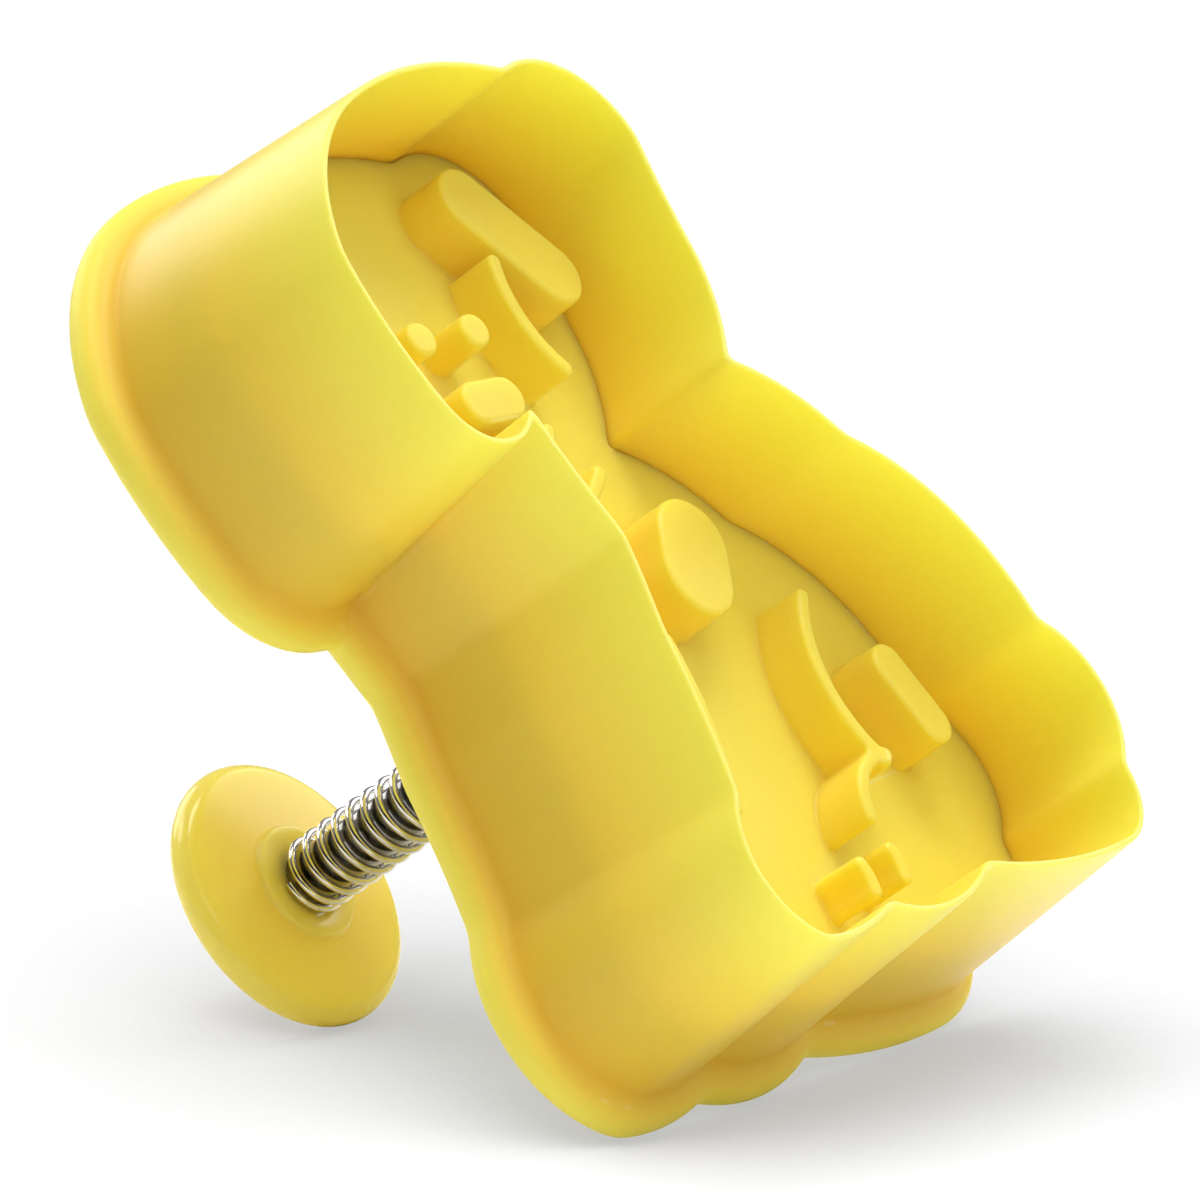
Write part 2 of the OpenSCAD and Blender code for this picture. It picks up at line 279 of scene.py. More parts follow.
# Camera of the photograph: its place in millimetres, its right and up directions and its lens
CAMERA_AT = (407.11, -97.08, -263.15)
CAMERA_RIGHT = (-0.57262, -0.46552, -0.67483)
CAMERA_UP = (-0.13145, 0.86463, -0.48491)
CAMERA_LENS = 195.0
CAMERA_SENSOR = 36.0
CAMERA_CLIP = (0.01, 20.0)

# Ways of the studio: up from the floor on which the cutter lies on its feet and its knob, right and front
FLOOR_UP = Vector((0.0, 0.8033, -0.5955)).normalized()
SIGHT_RIGHT = Vector(CAMERA_RIGHT).normalized()
STUDIO_RIGHT = (SIGHT_RIGHT - FLOOR_UP * SIGHT_RIGHT.dot(FLOOR_UP)).normalized()
STUDIO_FRONT = STUDIO_RIGHT.cross(FLOOR_UP)

# World: its light on the pieces, and what they mirror of it at the back and at the darker front
AMBIENT = 0.33
DARK_SIDE = (-0.1, 0.5)
MIRRORED = (0.3, 0.03)

# Floor in metres: its radius and where it fades out, its paper, and the glow that lifts it to white outside
# its painted shadow
FLOOR_R = 0.9
FLOOR_FADE = (0.16, 0.42)
FLOOR_SIDES = 128
PAPER_DULL = (0.84, 0.84, 0.85)
PAPER_WHITE = (0.88, 0.88, 0.89)
PAPER_SCALE = 30.0
PAPER_REACH = (0.3, 0.7)
FLOOR_PAINT = (0.13, 0.135, 0.145, 1.0)
FLOOR_REACH = 0.12
FLOOR_RAYS = 16
FLOOR_OPEN = (0.45, 0.92)
FLOOR_LIFT = (0.47, 0.90)
# The floor looks for open sky to the front and left, so its painted shadow falls to the back and right
FLOOR_LEAN = STUDIO_FRONT * 0.8 - STUDIO_RIGHT * 0.2

# Lamps: place to the right, to the front and up in metres, width in metres and power in watts
LAMPS = {
    "key_lamp": ((0.05, -0.05, 0.65), 0.40, 2.7),
    "side_lamp": ((-0.47, -0.18, 0.44), 0.28, 0.8),
    "left_lamp": ((-0.38, -0.42, 0.25), 0.40, 1.0),
    "right_lamp": ((0.30, -0.40, 0.35), 0.40, 0.9),
    "front_lamp": ((0.10, 0.40, 0.50), 0.40, 0.6),
    "fill_lamp": ((0.39, 0.28, 0.36), 0.50, 0.8),
}


# Arcs of the outline
def left_of(v):
    return np.array([-v[1], v[0]]) / np.linalg.norm(v)


def arc_radius(a, b, rise):
    return ((np.linalg.norm(b - a) / 2) ** 2 + rise * rise) / (2 * rise)


def arc_centre(a, b, rise):
    return (a + b) / 2 + left_of(b - a) * (arc_radius(a, b, rise) - rise)


def swing(centre, radius, a, b, steps):
    """Points on an arc about a centre from one place to another, both ends among them."""
    start = math.atan2(a[1] - centre[1], a[0] - centre[0])
    end = math.atan2(b[1] - centre[1], b[0] - centre[0])
    if radius > 0:
        turn = (end - start) % (2 * math.pi)
    else:
        turn = -((start - end) % (2 * math.pi))
    angles = start + turn * np.arange(steps + 1) / steps
    return centre + abs(radius) * np.stack([np.cos(angles), np.sin(angles)], axis=1)


CORNERS = np.array([p[:2] for p in PUPPY])
RISES = [p[2] for p in PUPPY]
COUNT = len(PUPPY)
RADII = [arc_radius(CORNERS[i], CORNERS[(i + 1) % COUNT], RISES[i]) for i in range(COUNT)]
CENTRES = [arc_centre(CORNERS[i], CORNERS[(i + 1) % COUNT], RISES[i]) for i in range(COUNT)]


def mitre(i, grow):
    """Where a corner goes when the outline is grown, if its two sides were straight."""
    before = (CORNERS[i] - CENTRES[i - 1]) / RADII[i - 1]
    after = (CORNERS[i] - CENTRES[i]) / RADII[i]
    both = before + after
    return CORNERS[i] + 2 * grow * both / (both @ both)


def meeting(i, grow):
    """Where the arcs before and after a corner meet when the outline is grown."""
    c1, c2 = CENTRES[i - 1], CENTRES[i]
    r1, r2 = RADII[i - 1] + grow, RADII[i] + grow
    apart = np.linalg.norm(c2 - c1)
    along = (apart * apart + r1 * r1 - r2 * r2) / (2 * apart)
    half = r1 * r1 - along * along
    if half <= 0:
        return mitre(i, grow)
    foot = c1 + along * (c2 - c1) / apart
    side = math.sqrt(half) * left_of(c2 - c1)
    near = mitre(i, grow)
    if np.linalg.norm(foot + side - near) < np.linalg.norm(foot - side - near):
        return foot + side
    return foot - side


def soften(ring, passes):
    """A closed ring of points with its corners eased."""
    for _ in range(passes):
        ring = 0.5 * ring + 0.25 * np.roll(ring, 1, axis=0) + 0.25 * np.roll(ring, -1, axis=0)
    return ring


def outline(grow):
    """The puppy's outline grown by some distance, finely drawn and with eased corners."""
    points = []
    for i in range(COUNT):
        after = (i + 1) % COUNT
        chord = np.linalg.norm(CORNERS[after] - CORNERS[i])
        steps = max(LEAST_STEPS, round(chord * (1 + abs(RISES[i]) / RISE_LENGTH) / RING_STEP))
        arc = swing(CENTRES[i], RADII[i] + grow, meeting(i, grow), meeting(after, grow), steps)
        points.append(arc[:-1])
    return soften(np.vstack(points), CORNER_PASSES) + MIDDLE


def inside(z):
    """How far the wall's inner face stands from the outline at a height."""
    return -EDGE_T + (WALL_LEAN - WALL_T + EDGE_T) * z / INSIDE_Z


def enclosed(p, places, edges):
    """Whether a place lies inside the rings: a line from it crosses them an odd number of times."""
    a, b = places[[e[0] for e in edges]], places[[e[1] for e in edges]]
    spans = (a[:, 1] > p[1]) != (b[:, 1] > p[1])
    a, b = a[spans], b[spans]
    x = a[:, 0] + (p[1] - a[:, 1]) * (b[:, 0] - a[:, 0]) / (b[:, 1] - a[:, 1])
    return np.count_nonzero(x > p[0]) % 2 == 1


# Meshes
class Skin:
    """Points and faces of one piece, in millimetres."""

    def __init__(self):
        self.points = []
        self.faces = []
        self.flat = set()

    def place(self, points):
        """Adds points and gives their numbers."""
        first = len(self.points)
        self.points.extend(tuple(p) for p in points)
        return list(range(first, len(self.points)))

    def ring(self, flat, z):
        """Adds the points of a flat ring at a height."""
        return self.place([(p[0], p[1], z) for p in flat])

    def bridge(self, a, b):
        """Faces between two rings of as many points."""
        n = len(a)
        for i in range(n):
            j = (i + 1) % n
            self.faces.append((a[i], a[j], b[j], b[i]))

    def rings(self, rows):
        """Faces from each ring to the next."""
        for a, b in zip(rows[:-1], rows[1:]):
            self.bridge(a, b)

    def flat_face(self, corners):
        self.flat.add(len(self.faces))
        self.faces.append(tuple(corners))

    def fill(self, outer, holes=()):
        """A flat face inside one ring and outside the others."""
        flat = []
        edges = []
        for loop in (outer, *holes):
            first = len(flat)
            edges += [(first + k, first + (k + 1) % len(loop)) for k in range(len(loop))]
            flat += loop
        places = np.array([self.points[i][:2] for i in flat])
        corners_2d = [Vector(p) for p in places]
        _, _, faces, sources, _, _ = delaunay_2d_cdt(corners_2d, edges, [], FILL_INSIDE, FILL_JOIN)
        for face in faces:
            corners = [sources[k][0] for k in face]
            if enclosed(places[corners].mean(axis=0), places, edges):
                self.flat_face(flat[k] for k in corners)

    def build(self, name):
        """The finished object in metres, smooth but for its flat faces and sharp edges."""
        mesh = bpy.data.meshes.new(name)
        mesh.from_pydata([Vector(p) * MM for p in self.points], [], self.faces)
        work = bmesh.new()
        work.from_mesh(mesh)
        bmesh.ops.recalc_face_normals(work, faces=work.faces)
        for f in work.faces:
            f.smooth = f.index not in self.flat
        work.to_mesh(mesh)
        work.free()
        mesh.set_sharp_from_angle(angle=math.radians(SHARP_ANGLE))
        piece = bpy.data.objects.new(name, mesh)
        bpy.context.scene.collection.objects.link(piece)
        return piece


def turn_points(radius, z, steps):
    angles = 2 * math.pi * np.arange(steps) / steps
    return [(AXIS[0] + radius * math.cos(a), AXIS[1] + radius * math.sin(a), z) for a in angles]


def lathe(skin, profile, steps):
    """Rings about the plunger's axis for a profile of radius and height."""
    rows = [skin.place(turn_points(r, z, steps)) for r, z in profile]
    skin.rings(rows)
    return rows


def profile_arc(cx, cz, r, start, end, steps):
    """Points of a round in a profile, from one angle to another in degrees."""
    angles = np.radians(np.linspace(start, end, steps + 1))
    return [(cx + r * math.cos(a), cz + r * math.sin(a)) for a in angles]


# Cutter: walls, flange and back plate in one skin
def lip_section():
    """Offsets and heights from the back face round the lip to the foot of its hollow."""
    half = FLANGE_T / 2
    middle = FLANGE_REACH - half
    bends = half + FLANGE_HOLLOW
    turn = math.degrees(math.acos(1 - FLANGE_W / bends))
    hollow_x = middle + bends * math.cos(math.radians(turn))
    hollow_z = BODY_H - half - bends * math.sin(math.radians(turn))
    section = [(middle - BACK_BORDER, BODY_H)]
    section += profile_arc(middle, BODY_H - half, half, 90, -turn, steps=20)
    section += profile_arc(hollow_x, hollow_z, FLANGE_HOLLOW, 180 - turn, 180, steps=12)[1:]
    return section


def cutter_section():
    """Offsets and heights from the back face round the lip and down the wall to the inside."""
    section = lip_section()
    foot = section[-1]
    for k in range(1, WALL_STEPS):
        rest = 1 - k / WALL_STEPS
        section.append((foot[0] * rest, foot[1] * rest))
    low = EDGE_T / 2
    section += profile_arc(-low, low, low, 0, -180, steps=10)
    high = INSIDE_Z - INSIDE_ROUND
    for k in range(1, WALL_STEPS + 1):
        z = low + (high - low) * k / WALL_STEPS
        section.append((inside(z), z))
    corner = inside(INSIDE_Z) - INSIDE_ROUND
    section += profile_arc(corner, high, INSIDE_ROUND, 0, 90, steps=6)[1:]
    section.append((corner - INSIDE_BORDER, INSIDE_Z))
    return section


def hub_profile():
    """Radii and heights from the back face down the spring's seat and the bore and out round the guide."""
    bore = ROD_R + ROD_GAP + BORE_ROUND
    hub = [(SEAT_R + SEAT_BORDER, BODY_H)]
    hub += profile_arc(SEAT_R + SEAT_ROUND, BODY_H - SEAT_ROUND, SEAT_ROUND, 90, 180, steps=4)
    hub += [(SEAT_R, SEAT_Z + SEAT_CUT), (SEAT_R - SEAT_CUT, SEAT_Z)]
    hub += profile_arc(bore, SEAT_Z - BORE_ROUND, BORE_ROUND, 90, 180, steps=3)
    hub += profile_arc(bore, GUIDE_Z + BORE_ROUND, BORE_ROUND, 180, 270, steps=3)
    hub += profile_arc(BOSS_R - BOSS_ROUND, GUIDE_Z + BOSS_ROUND, BOSS_ROUND, -90, 0, steps=4)
    hub += profile_arc(BOSS_R + GUIDE_FILLET, INSIDE_Z - GUIDE_FILLET, GUIDE_FILLET, 180, 90, steps=5)
    hub.append((BOSS_R + GUIDE_BORDER, INSIDE_Z))
    return hub


def make_cutter():
    skin = Skin()
    rows = [skin.ring(outline(grow), z) for grow, z in cutter_section()]
    skin.rings(rows)
    turned = lathe(skin, hub_profile(), HUB_STEPS)
    skin.fill(rows[0], [turned[0]])
    skin.fill(rows[-1], [turned[-1]])
    return skin.build("moulded_cutter")


# Stamp: plate, raised lines and pads, and the boss at its back
def half_round(p, start, steps):
    """Points half way round a place, from one beside it to the one across."""
    angles = math.pi * np.arange(steps + 1) / steps
    v = start - p
    x = v[0] * np.cos(angles) - v[1] * np.sin(angles)
    y = v[0] * np.sin(angles) + v[1] * np.cos(angles)
    return p + np.stack([x, y], axis=1)


def line_ring(line):
    """Outline of a raised line at its foot."""
    a, b, rise = np.array(line[0]), np.array(line[1]), line[2]
    half = LINE_W / 2 + RELIEF_FOOT
    steps = max(LEAST_STEPS, round(np.linalg.norm(b - a) / LINE_STEP))
    centre = arc_centre(a, b, rise)
    bend = arc_radius(a, b, rise)
    right = swing(centre, bend + half, a, b, steps)
    left = swing(centre, bend - half, a, b, steps)
    far = half_round(b, right[-1], LINE_END_STEPS)
    near = half_round(a, left[0], LINE_END_STEPS)
    return np.vstack([right[1:-1], far, left[-2:0:-1], near]) + MIDDLE


def pad_ring(pad):
    """Outline of a raised pad at its foot."""
    a, b, width = np.array(pad[0]), np.array(pad[1]), pad[2]
    side = left_of(b - a) * (width / 2 + RELIEF_FOOT)
    ends = [half_round(b, b - side, PAD_END_STEPS), half_round(a, a + side, PAD_END_STEPS)]
    return np.vstack(ends) + MIDDLE


def evenly(ring, step):
    """A closed ring drawn again with points at even distances."""
    closed = np.vstack([ring, ring[:1]])
    run = np.concatenate([[0.0], np.cumsum(np.linalg.norm(np.diff(closed, axis=0), axis=1))])
    at = np.linspace(0.0, run[-1], round(run[-1] / step), endpoint=False)
    return np.stack([np.interp(at, run, closed[:, 0]), np.interp(at, run, closed[:, 1])], axis=1)


def joined(first, second):
    """The outline of two outlines that overlap."""
    points = [Vector(p) for p in (*first, *second)]
    n = len(first)
    loops = [list(range(n)), list(range(n, len(points)))]
    places, _, faces, _, _, _ = delaunay_2d_cdt(points, [], loops, FILL_INSIDE, FILL_JOIN)
    sides = set()
    for face in faces:
        for k in range(len(face)):
            sides.add((face[k], face[(k + 1) % len(face)]))
    follow = {a: b for a, b in sides if (b, a) not in sides}
    start = min(follow)
    order = [start]
    while follow[order[-1]] != start:
        order.append(follow[order[-1]])
    ring = np.array([places[i][:2] for i in order])
    return soften(evenly(ring, JOINED_STEP), JOINED_PASSES)


def outward(ring):
    """The way out from each point of a ring that runs anticlockwise."""
    along = np.roll(ring, -1, axis=0) - ring
    along /= np.linalg.norm(along, axis=1, keepdims=True)
    side = np.stack([along[:, 1], -along[:, 0]], axis=1)
    both = side + np.roll(side, 1, axis=0)
    return both / np.maximum(np.sum(both * both, axis=1, keepdims=True) / 2, MITRE_LIMIT)


def relief_outlines():
    """Outlines of all raised forms: joined lines, single lines and pads."""
    rings = {name: line_ring(line) for name, line in LINES.items()}
    pairs = [joined(rings.pop(first), rings.pop(second)) for first, second in JOINED_LINES]
    pads = [pad_ring(pad) for pad in PADS]
    return pairs + [evenly(ring, RELIEF_STEP) for ring in (*rings.values(), *pads)]


def relief_section():
    """Offsets and heights of a raised form: a fillet at its foot, a drafted side and a round top edge."""
    foot, edge = RELIEF_FOOT, RELIEF_ROUND
    side_h = RELIEF_H - foot - edge
    top = STAMP_FACE - RELIEF_H
    section = [(x, STAMP_FACE - z) for x, z in profile_arc(0, foot, foot, -90, -180, steps=5)]
    for k in range(1, RELIEF_SIDE_STEPS):
        share = k / RELIEF_SIDE_STEPS
        section.append((-foot - RELIEF_DRAFT * share, STAMP_FACE - foot - side_h * share))
    for x, z in profile_arc(-foot - RELIEF_DRAFT - edge, 0, edge, 0, 90, steps=7):
        section.append((x, top + edge - z))
    section.append((section[-1][0] - RELIEF_BORDER, top))
    return section


def raise_form(skin, ring):
    """Adds a raised form over its outline and gives the ring of its foot."""
    way = outward(ring)
    loops = [skin.ring(ring + way * grow, z) for grow, z in relief_section()]
    skin.rings(loops)
    skin.fill(loops[-1])
    return loops[0]


def plate_section():
    """Offsets and heights of the plate's border, from its face round its edge to its back."""
    edge = PLATE_ROUND
    reach = inside(STAMP_FACE - TRAVEL) - PLATE_GAP - edge
    borders = [PLATE_BORDER, PLATE_BORDER / 2]
    section = [(reach - border, STAMP_FACE) for border in borders]
    section += profile_arc(reach, STAMP_FACE + edge, edge, -90, 0, steps=5)
    section += profile_arc(reach, STAMP_BACK - edge, edge, 0, 90, steps=5)
    section += [(reach - border, STAMP_BACK) for border in reversed(borders)]
    return section


def boss_profile():
    """Radii and heights of the boss, from the plate's back over its top into the rod's hole."""
    top = STAMP_BOSS_TOP
    boss = [(BOSS_R + BOSS_BORDER, STAMP_BACK)]
    boss += profile_arc(BOSS_R + BOSS_FILLET, STAMP_BACK + BOSS_FILLET, BOSS_FILLET, -90, -180, steps=5)
    boss += profile_arc(BOSS_R - BOSS_ROUND, top - BOSS_ROUND, BOSS_ROUND, 0, 90, steps=4)
    boss += [(ROD_R + ROD_HOLE_CUT, top), (ROD_R, top - ROD_HOLE_CUT), (ROD_R, ROD_LOW)]
    return boss


def make_stamp():
    skin = Skin()
    rows = [skin.ring(outline(grow), z) for grow, z in plate_section()]
    skin.rings(rows)
    feet = [raise_form(skin, ring) for ring in relief_outlines()]
    skin.fill(rows[0], feet)
    turned = lathe(skin, boss_profile(), HUB_STEPS)
    skin.fill(turned[-1])
    skin.fill(rows[-1], [turned[0]])
    return skin.build("embossing_stamp")


# Knob, rod and spring
def disc_profile():
    """Radii and heights of the knob's disc: a full round edge and an underside that swells in one arc."""
    edge = KNOB_T / 2
    rim, rim_z = KNOB_R - edge, KNOB_TOP - edge
    arc_h = (rim * rim - KNOB_SWELL * KNOB_SWELL) / (2 * KNOB_SWELL)
    arc_r = arc_h + KNOB_SWELL + edge
    lean = math.degrees(math.atan(rim / arc_h))
    foot = math.degrees(math.asin((COLLAR_R + COLLAR_ROUND) / arc_r))
    profile = [(CAP_R, KNOB_TOP - KNOB_DISH), (rim / 2, KNOB_TOP - KNOB_DISH / 2)]
    profile += profile_arc(rim, rim_z, edge, 90, lean - 90, steps=28)
    profile += profile_arc(0, rim_z + arc_h, arc_r, lean - 90, foot - 90, steps=18)[1:]
    return profile


def collar_profile(disc_z):
    """Radii and heights of the knob's low collar, from the disc over its round into the rod's hole."""
    bend = COLLAR_ROUND
    turn = math.degrees(math.acos(1 - (disc_z - COLLAR_Z) / (2 * bend)))
    across = 2 * bend * math.sin(math.radians(turn))
    profile = profile_arc(COLLAR_R - bend + across, disc_z - bend, bend, 90, 90 + turn, steps=7)[1:]
    profile += profile_arc(COLLAR_R - bend, COLLAR_Z + bend, bend, turn - 90, -90, steps=7)[1:]
    profile += [(ROD_R + COLLAR_CUT, COLLAR_Z), (ROD_R, COLLAR_Z + COLLAR_CUT)]
    profile += [(ROD_R, ROD_HIGH), (CAP_R, ROD_HIGH)]
    return profile


def turned_piece(name, profile, steps):
    """A piece turned from one profile and closed by a cap at each end."""
    skin = Skin()
    rows = lathe(skin, profile, steps)
    skin.flat_face(rows[0])
    skin.flat_face(rows[-1])
    return skin.build(name)


def make_knob():
    disc = disc_profile()
    return turned_piece("push_knob_turned", disc + collar_profile(disc[-1][1]), KNOB_STEPS)


def make_rod():
    profile = [(CAP_R, ROD_LOW), (ROD_R - ROD_BEVEL, ROD_LOW)]
    profile += [(ROD_R - ROD_NOSE[0], ROD_LOW + ROD_NOSE[1]), (ROD_R, ROD_LOW + ROD_BEVEL)]
    for z in np.linspace(ROD_LOW + ROD_BORDER, ROD_HIGH - ROD_BORDER, ROD_ROWS):
        profile.append((ROD_R, z))
    profile += [(ROD_R, ROD_HIGH - ROD_BEVEL), (ROD_R - ROD_BEVEL, ROD_HIGH), (CAP_R, ROD_HIGH)]
    return turned_piece("steel_rod", profile, ROD_STEPS)


def wire_points(a, z):
    """One section of the wire at an angle about the axis."""
    points = []
    for s in range(WIRE_SIDES):
        b = 2 * math.pi * s / WIRE_SIDES
        r = COIL_R + WIRE_R * math.cos(b)
        points.append((AXIS[0] + r * math.cos(a), AXIS[1] + r * math.sin(a), z + WIRE_R * math.sin(b)))
    return points


def make_spring():
    """One wire in even turns, with a closer turn at each end."""
    pitch = (SPRING_HIGH - SPRING_LOW - 2 * WIRE_R - 2 * END_PITCH) / (TURNS - 2)
    skin = Skin()
    rows = []
    for k in range(TURNS * WIRE_STEPS + 1):
        turn = k / WIRE_STEPS
        ends = min(turn, 1) + max(0, turn - TURNS + 1)
        middle = max(0, min(turn, TURNS - 1) - 1)
        z = SPRING_LOW + WIRE_R + END_PITCH * ends + pitch * middle
        rows.append(skin.place(wire_points(2 * math.pi * turn, z)))
    skin.rings(rows)
    skin.flat_face(rows[0])
    skin.flat_face(rows[-1])
    return skin.build("spring_of_round_wire")


# Materials: the mix node's colour sockets go by number, because its names stand for other kinds of value too
MIX_COLOURS = (6, 7)
MIX_RESULT = 2


def new_material(name):
    material = bpy.data.materials.new(name)
    material.use_nodes = True
    tree = material.node_tree
    shader = tree.nodes["Principled BSDF"]
    place = tree.nodes.new("ShaderNodeTexCoord")
    return material, tree, shader, place.outputs["Object"]


def noise(tree, place, scale, detail, rough=0.5):
    node = tree.nodes.new("ShaderNodeTexNoise")
    node.inputs["Scale"].default_value = scale
    node.inputs["Detail"].default_value = detail
    node.inputs["Roughness"].default_value = rough
    tree.links.new(place, node.inputs["Vector"])
    return node.outputs["Fac"]


def remap(tree, value, low, high, to_low, to_high):
    node = tree.nodes.new("ShaderNodeMapRange")
    node.inputs["From Min"].default_value = low
    node.inputs["From Max"].default_value = high
    node.inputs["To Min"].default_value = to_low
    node.inputs["To Max"].default_value = to_high
    tree.links.new(value, node.inputs["Value"])
    return node.outputs["Result"]


def blend_colour(tree, share, first, second):
    """A colour that goes from the first to the second; each is a colour or another node's output."""
    node = tree.nodes.new("ShaderNodeMix")
    node.data_type = "RGBA"
    tree.links.new(share, node.inputs["Factor"])
    for number, colour in zip(MIX_COLOURS, (first, second)):
        if isinstance(colour, tuple):
            node.inputs[number].default_value = (*colour, 1.0)
        else:
            tree.links.new(colour, node.inputs[number])
    return node.outputs[MIX_RESULT]


def maths(tree, kind, first, second):
    node = tree.nodes.new("ShaderNodeMath")
    node.operation = kind
    for socket, value in zip(node.inputs, (first, second)):
        if isinstance(value, float):
            socket.default_value = value
        else:
            tree.links.new(value, socket)
    return node.outputs[0]


def bump(tree, shader, height, strength, distance):
    node = tree.nodes.new("ShaderNodeBump")
    node.inputs["Strength"].default_value = strength
    node.inputs["Distance"].default_value = distance
    tree.links.new(height, node.inputs["Height"])
    tree.links.new(node.outputs["Normal"], shader.inputs["Normal"])


def by_height(tree, place, heights, to_low, to_high):
    """A value that changes between two heights, given in millimetres."""
    node = tree.nodes.new("ShaderNodeSeparateXYZ")
    tree.links.new(place, node.inputs["Vector"])
    return remap(tree, node.outputs["Z"], heights[0] * MM, heights[1] * MM, to_low, to_high)


# Edges paler partly for wear and partly as a painted highlight where they catch the light
def worn_and_highlit_edges(tree):
    """Nought on even surfaces, rising to one on edges that stand out."""
    node = tree.nodes.new("ShaderNodeNewGeometry")
    return remap(tree, node.outputs["Pointiness"], *EDGE_POINTINESS, 0.0, 1.0)


def plastic_colour(tree, place, low_colour, high_colour, heights):
    """From the lower to the higher colour with height, with soft mottling and edges paler for wear and for a
    painted highlight.
    """
    height_share = by_height(tree, place, heights, *HIGHER_COLOUR_SHARES)
    flow = remap(tree, noise(tree, place, FLOW_SCALE, detail=0.0), *NOISE_REACH, -FLOW, FLOW)
    colour = blend_colour(tree, maths(tree, "ADD", height_share, flow), low_colour, high_colour)
    edges = maths(tree, "MULTIPLY", worn_and_highlit_edges(tree), EDGE_SHARE)
    return blend_colour(tree, edges, colour, PALE_WEAR_AND_HIGHLIGHT)


def shell_colour(tree, place):
    """The plastic's colour, deepened towards the flange partly by painted shade, with a painted highlight at
    the cutting edge and the thin, lit colour again at the lip.
    """
    colour = plastic_colour(tree, place, SHELL_THIN_AND_LIT, SHELL_THICK_AND_SHADED, SHELL_HEIGHTS)
    # Painted highlight along the cutting edge
    land_highlight = by_height(tree, place, LAND_HEIGHTS, LAND_SHARE, 0.0)
    colour = blend_colour(tree, land_highlight, colour, PALE_WEAR_AND_HIGHLIGHT)
    lip = by_height(tree, place, LIP_HEIGHTS, 0.0, LIP_SHARE)
    return blend_colour(tree, lip, colour, SHELL_THIN_AND_LIT)


def plastic_gloss(tree, place, gloss):
    """An uneven sheen between two values of roughness."""
    return remap(tree, noise(tree, place, GLOSS_SCALE, detail=1.0), *NOISE_REACH, *gloss)


def shell_gloss(tree, place):
    """The sheen of a moulded face, duller towards the lip."""
    duller = by_height(tree, place, DULL_HEIGHTS, 0.0, DULL)
    return maths(tree, "ADD", plastic_gloss(tree, place, MOULDED), duller)


def finish_plastic(tree, shader, place, colour, rough, below, shine):
    """Joins colour and roughness to the shader, with a fine skin and light that goes below the surface."""
    tree.links.new(colour, shader.inputs["Base Color"])
    tree.links.new(rough, shader.inputs["Roughness"])
    bump(tree, shader, noise(tree, place, SKIN_SCALE, detail=1.0), SKIN_STRENGTH, SKIN_HEIGHT)
    shader.inputs["IOR"].default_value = PLASTIC_IOR
    shader.inputs["Subsurface Weight"].default_value = BELOW_SHARE
    shader.inputs["Subsurface Radius"].default_value = BELOW_COLOURS
    shader.inputs["Subsurface Scale"].default_value = below * MM
    shader.inputs["Specular IOR Level"].default_value = shine


def shell_plastic():
    material, tree, shader, place = new_material("yellow_plastic")
    colour = shell_colour(tree, place)
    rough = shell_gloss(tree, place)
    finish_plastic(tree, shader, place, colour, rough, SHELL_BELOW, MOULDED_SHINE)
    return material


def stamp_plastic():
    material, tree, shader, place = new_material("stamp_plastic")
    # Painted light: the shaded plate lighter than the raised tops
    colour = plastic_colour(tree, place, STAMP_TOPS_PAINTED_DARKER, STAMP_PLATE_PAINTED_LIGHTER, STAMP_HEIGHTS)
    rough = plastic_gloss(tree, place, MOULDED)
    finish_plastic(tree, shader, place, colour, rough, SOLID_BELOW, MOULDED_SHINE)
    return material


def knob_plastic():
    material, tree, shader, place = new_material("knob_plastic")
    colour = plastic_colour(tree, place, KNOB_COLLAR_SIDE, KNOB_TOP_SIDE, KNOB_HEIGHTS)
    rough = plastic_gloss(tree, place, TOUCHED)
    finish_plastic(tree, shader, place, colour, rough, SOLID_BELOW, KNOB_SHINE)
    return material


def metal(name, dull, bright, roughness, along):
    """Polished metal with fine drawn lines that run one way."""
    material, tree, shader, place = new_material(name)
    mapping = tree.nodes.new("ShaderNodeMapping")
    mapping.inputs["Scale"].default_value = along
    tree.links.new(place, mapping.inputs["Vector"])
    lines = noise(tree, mapping.outputs["Vector"], scale=1.0, detail=5.0, rough=0.65)
    spots = noise(tree, place, SPOT_SCALE, detail=3.0)
    colour = blend_colour(tree, remap(tree, spots, *SPOT_REACH, 0.0, 1.0), dull, bright)
    tree.links.new(colour, shader.inputs["Base Color"])
    gloss = remap(tree, lines, *LINE_REACH, *roughness)
    tree.links.new(gloss, shader.inputs["Roughness"])
    bump(tree, shader, lines, LINE_STRENGTH, LINE_HEIGHT)
    shader.inputs["Metallic"].default_value = 1.0
    return material


def dress(piece, material, body, node):
    piece.data.materials.append(material)
    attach(piece, body)
    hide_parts(node)


# Camera
def make_camera():
    up = Vector(CAMERA_UP)
    up = (up - SIGHT_RIGHT * up.dot(SIGHT_RIGHT)).normalized()
    toward = SIGHT_RIGHT.cross(up)
    data = bpy.data.cameras.new("camera")
    data.lens = CAMERA_LENS
    data.sensor_width = CAMERA_SENSOR
    data.clip_start, data.clip_end = CAMERA_CLIP
    camera = bpy.data.objects.new("camera", data)
    bpy.context.scene.collection.objects.link(camera)
    turn = Matrix((SIGHT_RIGHT, up, toward)).transposed().to_4x4()
    camera.matrix_world = Matrix.Translation(Vector(CAMERA_AT) * MM) @ turn
    bpy.context.scene.camera = camera


# Studio: floor, white surround and soft lamps
def lowest_on_floor():
    """The cutter's least reach along the way up, from the points of its solids."""
    return min(v.co.dot(FLOOR_UP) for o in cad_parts.values() for v in o.data.vertices)


